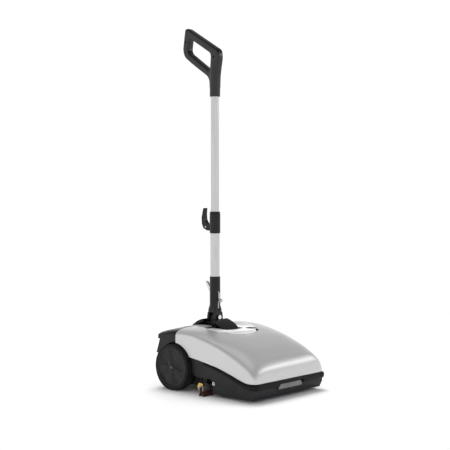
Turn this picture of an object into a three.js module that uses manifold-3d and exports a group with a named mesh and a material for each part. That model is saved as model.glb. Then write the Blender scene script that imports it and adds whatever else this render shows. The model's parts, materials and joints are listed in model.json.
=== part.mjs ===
// Upright battery floor scrubber, in millimetres, +Z up, front towards -Y.
// The pieces are laid out about the upright handle's axis (x = 0, y = 0) with the floor at z = 0. The whole
// machine is then moved along Y, so that the middle of its footprint is the origin.
// Left and right are as seen by the operator, who stands behind the machine.
import * as THREE from "three";
import { mergeVertices } from "three/addons/utils/BufferGeometryUtils.js";
import Module from "manifold-3d";

const wasm = await Module();
wasm.setup();

// --- Driving dimensions ----------------------------------------------------------------------------------

const GAP = 0.4; // left between two pieces that touch
const WALL = 3; // of every moulded shell
const BUMPER_FRONT = -320;
const SIDES = [["right", -1], ["left", 1]];

const WHEEL = { radius: 71.3, y: 21, outer: 175, width: 36, rim: 63 };
const ARCH_R = WHEEL.radius + 5;
const AXLE_R = 6;

const BODY = { front: -308, half: 158, low: 8 };
const PAN = { half: 133, front: -72, rear: 95, low: 19, top: 104 };
const BAY = { front: -140, rear: -73, top: 51 }; // the squeegee's room under the body
const HOOD = { front: -313.5, half: 163, corner: 20, low: 57.3, rear: 113 };
const SEAM_Y = 13; // where the hood's sides end and the rear covers begin
const TONGUE = 70; // half the width of the silver deck between the rear covers
const NOTCH = 37; // half the width of the hood's slot round the saddle
const SPINE_FRONT = 84; // where the fixed strip behind the saddle begins

const BRUSH = { y: -235, radius: 52, core: 27, half: 134, shaft: 6 };
const TUNNEL_R = 58;
const TUNNEL_HALF = 140;
const MOTOR = { y: -157, z: 97, radius: 26, from: -50, to: 112 };
const BELT = { x: 149, width: 8, thick: 2, small: 12, large: 24 };

// The saddle reaches from 79 degrees in front of upright to 48 degrees behind it.
const TILT = { z: 105, saddle: 106, half: 32, axle: 8, front: 79, rear: 48 };
const ROLL_Z = 214; // height of the bolt on which the handle swings sideways
const SQUEEGEE = { y: -88, z: 22, channel: -115, half: 182 };

const TUBE = { lower: 15, lowerBore: 13.8, upper: 13.5, upperBore: 12 };
const SOCKET_TOP = 343;
const CLAMP = { low: 480, high: 549, radius: 17.2, leverY: 30, leverZ: 500 };
const GRIP = { low: 912, half: 13 };

// The hood's centre line: its height along the machine, from the front lip to the rear.
const HOOD_TOP = [
  [-313.5, 66], [-311, 80], [-306, 93], [-298, 105], [-286, 117], [-268, 128], [-243, 141], [-212, 153],
  [-172, 166], [-140, 174], [-108, 181], [-70, 187], [-26, 190.5], [25, 190], [59, 185.5], [113, 172],
];
// Where the hood's upright sides end and its skin begins to curve over.
const HOOD_WALL = [
  [-313.5, 46], [-297, 55], [-258, 75], [-218, 98], [-178, 119], [-137, 135], [-95, 149], [-53, 160],
  [13, 156], [113, 148],
];
// Places across the hood and the skin's height there, both as shares of the half width and of the rise.
const DOME = [0, 0.3, 0.5, 0.65, 0.78, 0.88, 0.95, 0.985, 1].map((rise) => [
  (1 - rise ** 4.5) ** 0.2,
  rise,
]);
// The bright dish round the saddle's front: it is sunk into the hood behind and stands on it in front.
const BEZEL = { y: -60, across: 93, along: 84, inner: 96, half: 38, rear: -21, low: 181, top: 184 };
// The hood's lower side edge, which the base shell and the bumper strip follow.
const HOOD_EDGE = [
  [-320, 57.3], [-279, 58], [-254, 64], [-223, 74], [-192, 83], [-161, 91], [-130, 96.5], [-92, 103],
  [-40, 110],
];

// --- Colours ---------------------------------------------------------------------------------------------

const paint = (color, roughness, metalness) =>
  new THREE.MeshStandardMaterial({ color, roughness, metalness });
const SILVER = paint(0xb9bbbd, 0.35, 0.4);
const BRIGHT = paint(0xd8dadc, 0.18, 0.7);
const BLACK = paint(0x333335, 0.55, 0);
const RUBBER = paint(0x1d1d1f, 0.8, 0);
const GREY = paint(0x77797c, 0.45, 0);
const ALLOY = paint(0xb4b6b8, 0.3, 0.9);
const STEEL = paint(0x9b9da0, 0.3, 0.9);
const CHROME = paint(0xc9cbcd, 0.12, 1);
const BRASS = paint(0xb58d3d, 0.3, 0.9);
const BLUE = paint(0x1d2f86, 0.85, 0);
const BROWN = paint(0x5b3326, 0.7, 0);
const TANK = paint(0xb9c2c6, 0.4, 0);

// --- Solids ----------------------------------------------------------------------------------------------

// A closed three.js geometry as a manifold solid that faces out, whichever way round its outline was drawn.
function solid(geometry) {
  const bare = geometry.index ? geometry.toNonIndexed() : geometry.clone();
  bare.deleteAttribute("normal");
  bare.deleteAttribute("uv");
  const merged = mergeVertices(bare, 1e-3);
  const corners = merged.index.array;
  const kept = [];
  for (let i = 0; i < corners.length; i += 3) {
    const [a, b, c] = corners.slice(i, i + 3);
    if (a !== b && b !== c && c !== a) kept.push([a, b, c]);
  }
  const make = (triangles) =>
    new wasm.Manifold(
      new wasm.Mesh({
        numProp: 3,
        vertProperties: merged.attributes.position.array,
        triVerts: new Uint32Array(triangles.flat()),
      }),
    );
  const made = make(kept);
  return made.volume() < 0 ? make(kept.map(([a, b, c]) => [a, c, b])) : made;
}

const join = (...pieces) => pieces.reduce((all, piece) => all.add(piece));
const cut = (body, ...tools) => tools.reduce((left, tool) => left.subtract(tool), body);

// A named mesh from a manifold solid.
function piece(name, made, material) {
  const held = made.getMesh();
  const positions = new Float32Array(held.numVert * 3);
  for (let i = 0; i < held.numVert; i++) {
    positions.set(held.vertProperties.subarray(i * held.numProp, i * held.numProp + 3), i * 3);
  }
  const geometry = new THREE.BufferGeometry();
  geometry.setAttribute("position", new THREE.BufferAttribute(positions, 3));
  geometry.setIndex(new THREE.BufferAttribute(new Uint32Array(held.triVerts), 1));
  geometry.computeVertexNormals();
  const mesh = new THREE.Mesh(geometry, material);
  mesh.name = name;
  return mesh;
}

// Turns a shape's own axes (across, up, depth) into (Y, Z, X), (X, Z, Y) or (X, Y, Z).
const ALONG = {
  x: new THREE.Matrix4().set(0, 0, 1, 0, 1, 0, 0, 0, 0, 1, 0, 0, 0, 0, 0, 1),
  y: new THREE.Matrix4().set(1, 0, 0, 0, 0, 0, 1, 0, 0, 1, 0, 0, 0, 0, 0, 1),
  z: new THREE.Matrix4(),
};

// Two distances from the middle as the lower and the higher X on one side.
const onSide = (side, near, far) => [side * near, side * far].sort((a, b) => a - b);

const outline = (points) => new THREE.Shape(points.map(([a, b]) => new THREE.Vector2(a, b)));

// A prism of an outline between two places on an axis.
function prism(axis, points, from, to, holes = []) {
  const shape = outline(points);
  shape.holes.push(...holes.map((hole) => outline(hole)));
  const geometry = new THREE.ExtrudeGeometry(shape, { depth: to - from, bevelEnabled: false });
  return solid(geometry.translate(0, 0, from).applyMatrix4(ALONG[axis]));
}

const box = (x, y, z) =>
  solid(
    new THREE.BoxGeometry(x[1] - x[0], y[1] - y[0], z[1] - z[0]).translate(
      (x[0] + x[1]) / 2,
      (y[0] + y[1]) / 2,
      (z[0] + z[1]) / 2,
    ),
  );

// The points of a circle's arc, from one angle to another, in degrees.
function arc(a, b, radius, from, to, steps) {
  return Array.from({ length: steps + 1 }, (_, i) => {
    const angle = THREE.MathUtils.degToRad(from + ((to - from) * i) / steps);
    return [a + radius * Math.cos(angle), b + radius * Math.sin(angle)];
  });
}

const circle = (a, b, radius, steps = 24) => arc(a, b, radius, 0, 360 - 360 / steps, steps - 1);

// A round bar along an axis. at holds the other two coordinates, in the order of the prism's outline.
const bar = (axis, at, radius, from, to, steps = 24) => prism(axis, circle(...at, radius, steps), from, to);

// A turned piece: the profile's points are [place along the axis, radius].
function turned(axis, at, profile, steps = 24) {
  const geometry = new THREE.LatheGeometry(profile.map(([place, r]) => new THREE.Vector2(r, place)), steps);
  // The lathe turns about its own Y, so that axis becomes the prism's depth first.
  geometry.applyMatrix4(new THREE.Matrix4().makeRotationX(Math.PI / 2)).translate(...at, 0);
  return solid(geometry.applyMatrix4(ALONG[axis]));
}

// A ring that a shaft runs through, with small chamfers on its outer edges.
function ring(axis, at, inner, outer, from, to, steps = 24, chamfer = 0.8) {
  const profile = [
    [from, inner], [from, outer - chamfer], [from + chamfer, outer],
    [to - chamfer, outer], [to, outer - chamfer], [to, inner], [from, inner],
  ];
  return turned(axis, at, profile, steps);
}

// An outline with its corners rounded: each point may carry its own radius as a third number.
function rounded(points, radius, steps = 2) {
  return points.flatMap(([a, b, own], i) => {
    const corner = new THREE.Vector2(a, b);
    const [before, after] = [points.at(i - 1), points[(i + 1) % points.length]].map(
      ([p, q]) => new THREE.Vector2(p, q),
    );
    const reach = Math.min(own ?? radius, corner.distanceTo(before) / 2.05, corner.distanceTo(after) / 2.05);
    if (reach <= 0) return [[a, b]];
    const start = corner.clone().add(before.sub(corner).setLength(reach));
    const end = corner.clone().add(after.sub(corner).setLength(reach));
    return new THREE.QuadraticBezierCurve(start, corner, end).getPoints(steps).map((p) => [p.x, p.y]);
  });
}

// The height of a line of [place, height] points at a place.
function heightAt(line, place) {
  const next = line.findIndex(([p]) => p >= place);
  if (next === 0) return line[0][1];
  if (next < 0) return line.at(-1)[1];
  const [[p0, h0], [p1, h1]] = [line[next - 1], line[next]];
  return h0 + ((h1 - h0) * (place - p0)) / (p1 - p0);
}

// A solid through cross-sections that stand across Y, each a convex outline in X and Z with the same count.
function lofted(stations, sectionAt) {
  const rings = stations.map((y) => sectionAt(y).map(([x, z]) => [x, y, z]));
  const count = rings[0].length;
  const index = [];
  rings.slice(1).forEach((_, r) => {
    for (let j = 0; j < count; j++) {
      const [a, b] = [r * count + j, r * count + ((j + 1) % count)];
      index.push(a, b, a + count, b, b + count, a + count);
    }
  });
  const last = (rings.length - 1) * count;
  for (let j = 1; j < count - 1; j++) index.push(0, j + 1, j, last, last + j, last + j + 1);
  const geometry = new THREE.BufferGeometry();
  geometry.setAttribute("position", new THREE.Float32BufferAttribute(rings.flat(2), 3));
  geometry.setIndex(index);
  return solid(geometry);
}

// --- Hood, its bezel and the rear spine ------------------------------------------------------------------

// The full form under the hood's skin, set in by an amount all round (a negative amount sets it out).
function hoodForm(inset) {
  const base = 30;
  const front = HOOD.front + inset;
  const halfAt = (y) => {
    const r = HOOD.corner;
    const past = Math.min(Math.max(y - front, 0), r);
    return HOOD.half - inset - r + Math.sqrt(r * r - (r - past) ** 2);
  };
  const sectionAt = (y) => {
    const [half, wall] = [halfAt(y), heightAt(HOOD_WALL, y)];
    const rise = heightAt(HOOD_TOP, Math.max(y - inset, HOOD.front)) - inset - wall;
    const right = DOME.map(([across, up]) => [half * across, wall + rise * up]);
    const left = right.slice(0, -1).map(([x, z]) => [-x, z]);
    return [[-half, base], ...left, ...right.reverse(), [half, base]];
  };
  const atFront = [0, 1, 2.5, 5, 10, 16, 22].map((d) => front + d);
  const stations = [...atFront, -268, -243, -212, -172, -140, -108, -70, -26, 25, 59, HOOD.rear];
  const rear = HOOD.rear - inset;
  const limit = prism("x", [[-330, 20], [rear, 20], [rear, 107], [rear - 18, 200], [-330, 200]], -200, 200);
  return lofted(stations, sectionAt).intersect(limit);
}

// What lies under the hood's lower edge at the sides, and under the deck at the rear.
function underHood() {
  const edge = HOOD_EDGE.map(([y, z]) => [y, z]);
  return prism("x", [[-330, 0], [-330, HOOD.low], ...edge, [SEAM_Y, 107], [130, 107], [130, 0]], -200, 200);
}

const wheelArch = (side, from = PAN.half + 1) =>
  bar("x", [WHEEL.y, WHEEL.radius], ARCH_R, ...onSide(side, from, 200), 48);

// The finger recess beside the bezel's right front.
const recess = (grow) =>
  turned("z", [52, -112], [
    [170 - grow, 0], [170 - grow, 15 + grow], [177, 20 + grow], [200, 20 + grow], [200, 0],
  ]);

// An oval's arc about the bezel's middle, from one angle to another.
const bezelOval = (grow, from, to, steps) =>
  arc(0, 0, 1, from, to, steps).map(([a, b]) => [
    (BEZEL.across + grow) * a,
    (BEZEL.along + grow) * b + BEZEL.y,
  ]);

// The bezel's room: its horseshoe plan grown all round, between two heights.
function bezelRoom(grow, low, high) {
  const { inner, half, rear } = BEZEL;
  const [side, radius] = [half - 6 * grow, inner - 6 * grow];
  const lean = THREE.MathUtils.radToDeg(Math.asin(side / radius));
  const front = arc(0, 0, radius, 270 + lean, 270 - lean, 10);
  const plan = [...bezelOval(grow, 152, 388, 36), [side, rear + grow], ...front, [-side, rear + grow]];
  return prism("z", plan, low, high);
}

// The hood's form with the bezel's seat sunk into it.
const seatedForm = (inset) => cut(hoodForm(inset), bezelRoom(0.5 + inset, BEZEL.low - inset, 230));

function hoodShell() {
  const shell = cut(seatedForm(0), seatedForm(WALL), underHood());
  const rearCorners = SIDES.map(([, side]) =>
    box(onSide(side, TONGUE, 200), [SEAM_Y, 130], [0, 220]),
  );
  const slotFront = arc(0, 0, 95, 247, 293, 8);
  const slot = prism("z", [...slotFront, [NOTCH, 0], [NOTCH, 130], [-NOTCH, 130], [-NOTCH, 0]], 0, 220);
  return cut(shell, ...rearCorners, slot, ...SIDES.map(([, side]) => wheelArch(side)), recess(0));
}

// A dark cup that fills the recess from below.
const fingerCup = () =>
  cut(recess(-GAP), recess(-GAP - 1.8).translate([0, 0, 1.2])).intersect(seatedForm(0.5));

// The bezel: a flat plate with a sloping wall round it, which ends at the hood's surface.
function bezel() {
  const oval = (grow, z) => bezelOval(grow, 0, 350, 35).map(([x, y]) => [x, y, z]);
  const dish = stacked([oval(-10, BEZEL.top), oval(-1, BEZEL.top + 9)]);
  const within = prism("z", bezelOval(-10, 0, 350, 35), 140, BEZEL.top + 0.1);
  const wall = cut(bezelRoom(0, 150, 194), dish, within);
  const plate = join(bezelRoom(0, 150, BEZEL.top), wall.intersect(hoodForm(0.5)));
  return cut(plate, cut(hoodForm(-GAP), bezelRoom(0.1, BEZEL.low + GAP, 230)), recess(GAP + 1));
}

// The fixed strip of silver deck behind the saddle.
function rearSpine() {
  const shell = cut(hoodForm(0), hoodForm(WALL), underHood());
  return shell.intersect(box([-NOTCH + GAP, NOTCH - GAP], [SPINE_FRONT, 130], [0, 220]));
}

// --- Base ------------------------------------------------------------------------------------------------

// The base's side view up to the hood's edge, drawn in by an amount from its outline.
function baseOutline() {
  const top = HOOD_EDGE.slice(1).map(([y, z]) => [y, z - 0.6]);
  return [
    [BODY.front, 28], [BODY.front + 10, BODY.low], [BAY.front, BODY.low], [BAY.front, 41],
    [BAY.front + 9, BAY.top], [BAY.rear, BAY.top], [-57, 58], [-44, 64.5], ...top.reverse(),
    [BODY.front, 56.7],
  ];
}

// The lug that hangs from the bay's roof and carries the squeegee's pivot knob.
function pivotLug(side) {
  const { y, z } = SQUEEGEE;
  const view = [...arc(y, z, 9, 180, 360, 10), [y + 9, BAY.top + 1], [y - 9, BAY.top + 1]];
  const [from, to] = onSide(side, 127, 136.6);
  return cut(prism("x", view, from, to), bar("x", [y, z], 5.4, from - 1, to + 1, 16));
}

function baseShell() {
  const body = prism("x", baseOutline(), -BODY.half, BODY.half);
  const pan = box([-PAN.half, PAN.half], [PAN.front, PAN.rear], [PAN.low, PAN.top]);
  const inside = BODY.half - WALL;
  const hollow = prism("x", [
    [BODY.front + 4, 30], [BODY.front + 12, 12], [BAY.front - WALL, 12], [BAY.front - WALL, 43],
    [BAY.front + 7, BAY.top + WALL], [BAY.rear, BAY.top + WALL], [-59, 61], [-47, 67], [-47, 140],
    [BODY.front + 4, 140],
  ], -inside, inside);
  const tunnelAt = [BRUSH.y, BRUSH.radius];
  const tunnelWall = bar("x", tunnelAt, TUNNEL_R + WALL, -TUNNEL_HALF - WALL, TUNNEL_HALF + WALL, 40);
  const panHollow = box(
    [-PAN.half + WALL, PAN.half - WALL],
    [PAN.front + WALL, PAN.rear - WALL],
    [PAN.low + WALL, 140],
  );
  const tunnel = join(
    bar("x", tunnelAt, TUNNEL_R, -TUNNEL_HALF, TUNNEL_HALF, 40),
    box([-TUNNEL_HALF, TUNNEL_HALF], [BRUSH.y - TUNNEL_R, BRUSH.y + TUNNEL_R], [-5, BRUSH.radius]),
  );
  const shell = cut(join(body, pan), cut(hollow, tunnelWall), panHollow, tunnel);
  const pedestal = bar("z", [99, 62], 24, PAN.low + 1, 80);
  const posts = SIDES.map(([, side]) => box([side * 62 - 3, side * 62 + 3], [34, 86], [PAN.low + 1, 60]));
  const arches = SIDES.map(([, side]) => wheelArch(side, PAN.half));
  const shaftHole = bar("x", tunnelAt, 12.4, -TUNNEL_HALF - 5, TUNNEL_HALF + 5);
  const axleHole = bar("x", [WHEEL.y, WHEEL.radius], AXLE_R + GAP, -PAN.half - 5, PAN.half + 5);
  const windowSeat = box([-60, 60], [BODY.front - 1, BODY.front + 1.2], [27, 47]);
  const lugs = SIDES.map(([, side]) => pivotLug(side));
  return cut(join(shell, pedestal, ...posts, ...lugs), ...arches, shaftHole, axleHole, windowSeat);
}

// Rubber strip under the hood's edge, round the front and both sides.
function bumperStrip() {
  const side = [
    [-108, 99.6], [-108, 92], [-187, 73], [-238, 55], [-275, 43], [-300, 37], [-330, 37], [-330, 56.7],
  ];
  const edge = HOOD_EDGE.slice(1, -1).map(([y, z]) => [y, z - 0.6]).filter(([y]) => y < -108);
  const band = prism("x", [...side, ...edge], -180, 180);
  const reach = 168;
  const plan = (half, front, corner) =>
    rounded([[-half, -90, 0], [-half, front, corner], [half, front, corner], [half, -90, 0]], corner, 6);
  const thickness = cut(
    prism("z", plan(reach, BUMPER_FRONT, 26), 0, 140),
    prism("z", plan(BODY.half + GAP, BODY.front - GAP, 0), -1, 141),
  );
  const windowGap = prism("y", [[-58, 20], [-51, 46], [51, 46], [58, 20]], -330, -300);
  return cut(band.intersect(thickness), windowGap);
}

const frontWindow = () =>
  prism("y", [[-56, 29.5], [-50, 44.5], [50, 44.5], [56, 29.5]], BODY.front - 4, BODY.front + 0.8);

// One rear corner cover over a wheel: a slab that overhangs a slightly narrower box, open below and in front.
// Its top carries the hood's surface on to the rear.
function rearCover(side) {
  const from = TONGUE + 0.5;
  const front = (inset) => SEAM_Y + 0.6 - 3 * inset;
  const slab = (inset) => [[front(inset), 150], [front(inset), 195], [94 - inset, 195], [94 - inset, 153]];
  const sideView = (inset) => [
    [front(inset), 100], ...slab(inset).slice(1), [90 - inset, 151], [105 - inset, 107], [105 - inset, 100],
  ];
  const block = (inset) =>
    join(
      prism("x", sideView(inset), ...onSide(side, from + inset, 157 - inset)),
      prism("x", slab(inset), ...onSide(side, from + inset, 160 - inset)),
    ).intersect(hoodForm(1 + inset));
  const below = box([-200, 200], [0, 130], [0, 107]);
  return cut(block(0), cut(block(WALL), below), below, wheelArch(side, PAN.half + 2));
}

function rearPanel() {
  const face = rounded([[-68, 40], [68, 40], [68, 102], [-68, 102]], 6);
  const plate = prism("y", face, PAN.rear + GAP, PAN.rear + 4);
  const rockerHole = box([-45, -21], [90, 110], [62, 80]);
  const inletHole = bar("y", [33, 71], 12, 90, 110);
  return cut(plate, rockerHole, inletHole);
}

const ROCKER = { x: -33, y: 98.5, z: 71 };

function powerRocker() {
  const tilted = new THREE.Matrix4().makeRotationX(THREE.MathUtils.degToRad(-6));
  const rocker = new THREE.BoxGeometry(21, 5, 14).applyMatrix4(tilted);
  return solid(rocker.translate(ROCKER.x, ROCKER.y, ROCKER.z));
}

const chargingInlet = () =>
  turned("y", [33, 71], [
    [95.6, 0], [95.6, 11.5], [99.6, 11.5], [99.6, 15], [103, 14], [103, 8], [98, 8], [98, 0],
  ]);

// --- Inside the body -------------------------------------------------------------------------------------

const batteryPack = () =>
  prism("x", rounded([[33, 22.5], [33, 88], [88, 88], [88, 22.5]], 5), -58, 58);

// A moulded tank beside the handle's brackets, with a neck hole on top.
function tank(side) {
  const view = (inset) =>
    rounded([
      [-118 + inset, 58 + inset], [-118 + inset, 152 - inset], [-60, 162 - inset], [11 - inset, 162 - inset],
      [11 - inset, 84 + inset], [-14 - inset, 84 + inset], [-14 - inset, 58 + inset],
    ], 6);
  const full = (inset) => prism("x", view(inset), ...onSide(side, 50 + inset, 127 - inset));
  return cut(full(0), full(2.5));
}

const solutionTank = () => cut(tank(-1), bar("z", [-87, -30], 12, 150, 170));
const recoveryTank = () => cut(tank(1), bar("y", [87, 138], 6, 5, 15));

// The cap's plug reaches into the tank's neck, and its flange lies on the tank.
const fillerCap = (side) =>
  turned("z", [side * 87, -30], [
    [156, 0], [156, 11], [162.4, 11], [162.4, 17], [170, 17], [171.5, 15], [171.5, 0],
  ], 20);

const vacuumMotor = () =>
  turned("z", [99, 62], [
    [80.4, 0], [80.4, 25], [101, 25], [102, 22], [105, 22], [106, 25], [120, 25], [124, 20], [124, 9],
    [128, 9], [128, 0],
  ], 24);

// From the recovery tank's outlet over to the vacuum motor's inlet.
function suctionHose() {
  const path = new THREE.CatmullRomCurve3(
    [[87, 11.8, 138], [87, 16, 138], [92, 38, 142], [98, 56, 143], [99, 62, 137], [99, 62, 128.6]].map(
      (p) => new THREE.Vector3(...p),
    ),
  );
  const section = outline(circle(0, 0, 6.5, 10));
  return solid(new THREE.ExtrudeGeometry(section, { extrudePath: path, steps: 20 }));
}

function brushMotor() {
  const { y, z, radius, from, to } = MOTOR;
  return turned("x", [y, z], [
    [from, 0], [from, radius - 3], [from + 3, radius], [to - 3, radius], [to, radius - 3], [to, 10],
    [to + 6, 10], [to + 6, 0],
  ]);
}

const pulley = (y, z, radius, shaftFrom, shaftRadius) =>
  join(
    bar("x", [y, z], radius + 2.6, BELT.x - 5.6, BELT.x - 4.4),
    bar("x", [y, z], radius, BELT.x - 5, BELT.x + 5),
    bar("x", [y, z], shaftRadius, shaftFrom, BELT.x),
  );
const motorPulley = () => pulley(MOTOR.y, MOTOR.z, BELT.small, MOTOR.to + 6.4, 4);
const brushPulley = () => pulley(BRUSH.y, BRUSH.radius, BELT.large, BELT.x - 5.6, 6);

// The loop round both pulleys: two arcs joined by their outer tangents.
function driveBelt() {
  const [dy, dz] = [MOTOR.y - BRUSH.y, MOTOR.z - BRUSH.radius];
  const along = THREE.MathUtils.radToDeg(Math.atan2(dz, dy));
  const lean = THREE.MathUtils.radToDeg(Math.acos((BELT.large - BELT.small) / Math.hypot(dy, dz)));
  const loop = (out) => [
    ...arc(BRUSH.y, BRUSH.radius, BELT.large + out, along + lean, along + 360 - lean, 20),
    ...arc(MOTOR.y, MOTOR.z, BELT.small + out, along - lean, along + lean, 12),
  ];
  const [from, to] = [BELT.x - BELT.width / 2, BELT.x + BELT.width / 2];
  return prism("x", loop(GAP + BELT.thick), from, to, [loop(GAP)]);
}

// --- Brush -----------------------------------------------------------------------------------------------

const brushCore = () => {
  const at = [BRUSH.y, BRUSH.radius];
  return join(
    bar("x", at, BRUSH.core, -BRUSH.half, BRUSH.half, 28),
    bar("x", at, BRUSH.shaft, -TUNNEL_HALF - WALL, TUNNEL_HALF + WALL),
  );
};
const brushBristles = () =>
  ring("x", [BRUSH.y, BRUSH.radius], BRUSH.core + GAP, BRUSH.radius, -BRUSH.half, BRUSH.half, 36, 2);

function brushBearing(side) {
  const [from, to] = onSide(side, 138.2, 142.8);
  return ring("x", [BRUSH.y, BRUSH.radius], BRUSH.shaft + 0.1, 12, from, to, 24, 0.4);
}

// --- Squeegee --------------------------------------------------------------------------------------------

const CHANNEL = { low: 17, high: 31, halfDeep: 8.5 };
const SHEET = 1.5; // of the channel's stainless steel

function squeegeeChannel() {
  const { low, high, halfDeep } = CHANNEL;
  const y = SQUEEGEE.channel;
  const arch = (half, top, foot, corner) =>
    rounded([[y - half, foot, 0], [y - half, top], [y + half, top], [y + half, foot, 0]], corner);
  const reach = SQUEEGEE.half;
  const outer = prism("x", arch(halfDeep, high, low, 4), -reach, reach);
  return cut(outer, prism("x", arch(halfDeep - SHEET, high - SHEET, low - 1, 2.5), -reach - 1, reach + 1));
}

// A blade inside the channel, leaning out a little towards the floor.
function blade(out) {
  const y = SQUEEGEE.channel + out * 3.8;
  const lean = out * 4;
  const profile = [
    [y - 1.6, 28.6], [y + 1.6, 28.6], [y + 1.6, 14], [y + 1.6 + lean, 0.6], [y - 1.6 + lean, 0.6],
    [y - 1.6, 14],
  ];
  return prism("x", profile, -SQUEEGEE.half + 1, SQUEEGEE.half - 1);
}

// A plate from the channel's rear wall back to the pivot, close beside the pan.
function squeegeeArm(side) {
  const [from, to] = onSide(side, 138, 142);
  const eye = [...arc(SQUEEGEE.y, SQUEEGEE.z, 11, -70, 110, 10)];
  const plate = prism("x", [...eye, [SQUEEGEE.channel + 9, 31], [SQUEEGEE.channel + 9, 18]], from, to);
  return cut(plate, bar("x", [SQUEEGEE.y, SQUEEGEE.z], 5.4, from - 1, to + 1));
}

// Brass hand knob on the squeegee's pivot: its stem passes through the arm into the pan's wall.
function squeegeeKnob(side) {
  const lobes = Array.from({ length: 36 }, (_, i) => {
    const turn = (i / 36) * 2 * Math.PI;
    const r = 13 + Math.cos(6 * turn);
    return [SQUEEGEE.y + r * Math.cos(turn), SQUEEGEE.z + r * Math.sin(turn)];
  });
  const at = [SQUEEGEE.y, SQUEEGEE.z];
  return join(
    prism("x", lobes, ...onSide(side, 147, 157)),
    bar("x", at, 8, ...onSide(side, 142.6, 160)),
    bar("x", at, 5, ...onSide(side, 129, 148), 16),
    bar("x", at, 4, ...onSide(side, 157, 163)),
  );
}

const stopBolt = (side) =>
  join(
    bar("x", [-146.6, 39.5], 3, ...onSide(side, 158.4, 164), 12),
    bar("x", [-146.6, 39.5], 5.8, ...onSide(side, 158.4, 160.4), 16),
  );

// --- Wheels ----------------------------------------------------------------------------------------------

function tyre(side) {
  const [from, to] = onSide(side, WHEEL.outer - WHEEL.width, WHEEL.outer);
  return ring("x", [WHEEL.y, WHEEL.radius], WHEEL.rim, WHEEL.radius, from, to, 40, 3);
}

// A dished disc with a rim flange inside the tyre and a boss round the axle.
function wheelHub(side) {
  const s = (place) => side * place;
  const bore = AXLE_R + 0.3;
  const rim = WHEEL.rim - GAP;
  return turned("x", [WHEEL.y, WHEEL.radius], [
    [s(173), bore], [s(173), 10], [s(170.5), 14], [s(170.5), rim - 7], [s(174), rim - 4], [s(174), rim],
    [s(142), rim], [s(142), rim - 4], [s(166), rim - 4], [s(166), 14], [s(141), 12], [s(141), bore],
    [s(173), bore],
  ], 32);
}

const wheelAxle = () => bar("x", [WHEEL.y, WHEEL.radius], AXLE_R, -174, 174);

// --- Handle joint ----------------------------------------------------------------------------------------

// The saddle: a drum-shaped band about the tilt axle, with a trough for the socket's ears and a lug between.
function saddle() {
  const { z, saddle: radius, half, axle, front, rear } = TILT;
  const [from, to] = [90 - rear, 90 + front];
  const band = [...arc(0, z, radius, from, to, 40), ...arc(0, z, radius - 9, to, from, 30)];
  const hub = bar("x", [0, z], axle + 8, -half, half);
  const spoke = (angle) => {
    const turn = THREE.MathUtils.degToRad(angle);
    const across = [Math.sin(turn) * 5, Math.cos(turn) * 5];
    const reach = (r) => [-Math.sin(turn) * r, z + Math.cos(turn) * r];
    const [near, far] = [reach(axle + 4), reach(radius - 4)];
    const corner = ([y, h], s) => [y + s * across[1], h + s * across[0]];
    return prism("x", [corner(near, -1), corner(far, -1), corner(far, 1), corner(near, 1)], -20, 20);
  };
  const floor = box([-half, half], [-34, 34], [176, 190]);
  const trough = box([-half - 1, half + 1], [-22.3, 22.3], [190, 230]);
  const lug = prism("y", [...arc(0, ROLL_Z, 13, 0, 180, 14), [-13, 188], [13, 188]], -8.7, 8.7);
  const bands = join(prism("x", band, -half, half), hub, spoke(72), spoke(0), spoke(-38), floor);
  const limit = bar("x", [0, z], radius, -half - 2, half + 2, 64);
  const rimmed = cut(bands, trough).intersect(limit);
  const boltHole = bar("y", [0, ROLL_Z], 5.1, -10, 10);
  return cut(join(rimmed, lug), boltHole, bar("x", [0, z], axle + 0.1, -half - 1, half + 1));
}

const tiltAxle = () => bar("x", [0, TILT.z], TILT.axle, -47, 47);

function tiltBracket(side) {
  const [from, to] = onSide(side, 36.5, 44);
  const foot = PAN.low + WALL + GAP;
  const view = [[-18, foot], [9, foot], [9, 80], ...arc(0, TILT.z, 18, -40, 200, 16)];
  return cut(prism("x", view, from, to), bar("x", [0, TILT.z], TILT.axle + GAP, from - 1, to + 1));
}

// The socket: ears on the swivel bolt, a square collar, and a round sleeve round the lower tube.
function handleSocket() {
  const ears = [-1, 1].map((s) => {
    const [from, to] = onSide(s, 9.2, 16.5);
    return prism("y", [...arc(0, ROLL_Z, 19.6, 180, 360, 18), [16.5, 229.5], [-16.5, 229.5]], from, to);
  });
  const collar = (z, half, corner) => {
    const points = rounded([[-half, -half], [half, -half], [half, half], [-half, half]], corner, 4);
    return points.map(([x, y]) => [x, y, z]);
  };
  const layers = [[229, 16.5, 5], [238, 16.5, 6], [252, 15.8, 15], [256, 15.8, 15.8]];
  const skirt = stacked(layers.map((layer) => collar(...layer)));
  const sleeve = ring("z", [0, 0], TUBE.lower + GAP, 17, 244, SOCKET_TOP, 24, 1);
  const shank = cut(skirt, bar("z", [0, 0], TUBE.lower + GAP, 240, 300));
  const bolt = bar("y", [0, ROLL_Z], 5.1, -20, 20);
  const slot = box([-3.2, 3.2], [-20, -14], [236, 296]);
  const leverSlot = box([-4.4, 4.4], [15.2, 20], [290, 336]);
  return cut(join(...ears, shank, sleeve), bolt, slot, leverSlot);
}

// A solid through stacked outlines, each a list of [x, y, z] with the same count.
function stacked(layers) {
  const count = layers[0].length;
  const index = [];
  layers.slice(1).forEach((_, k) => {
    for (let j = 0; j < count; j++) {
      const [a, b] = [k * count + j, k * count + ((j + 1) % count)];
      index.push(a, b, a + count, b, b + count, a + count);
    }
  });
  const last = (layers.length - 1) * count;
  for (let j = 1; j < count - 1; j++) index.push(0, j + 1, j, last, last + j, last + j + 1);
  const geometry = new THREE.BufferGeometry();
  geometry.setAttribute("position", new THREE.Float32BufferAttribute(layers.flat(2), 3));
  geometry.setIndex(index);
  return solid(geometry);
}

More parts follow.
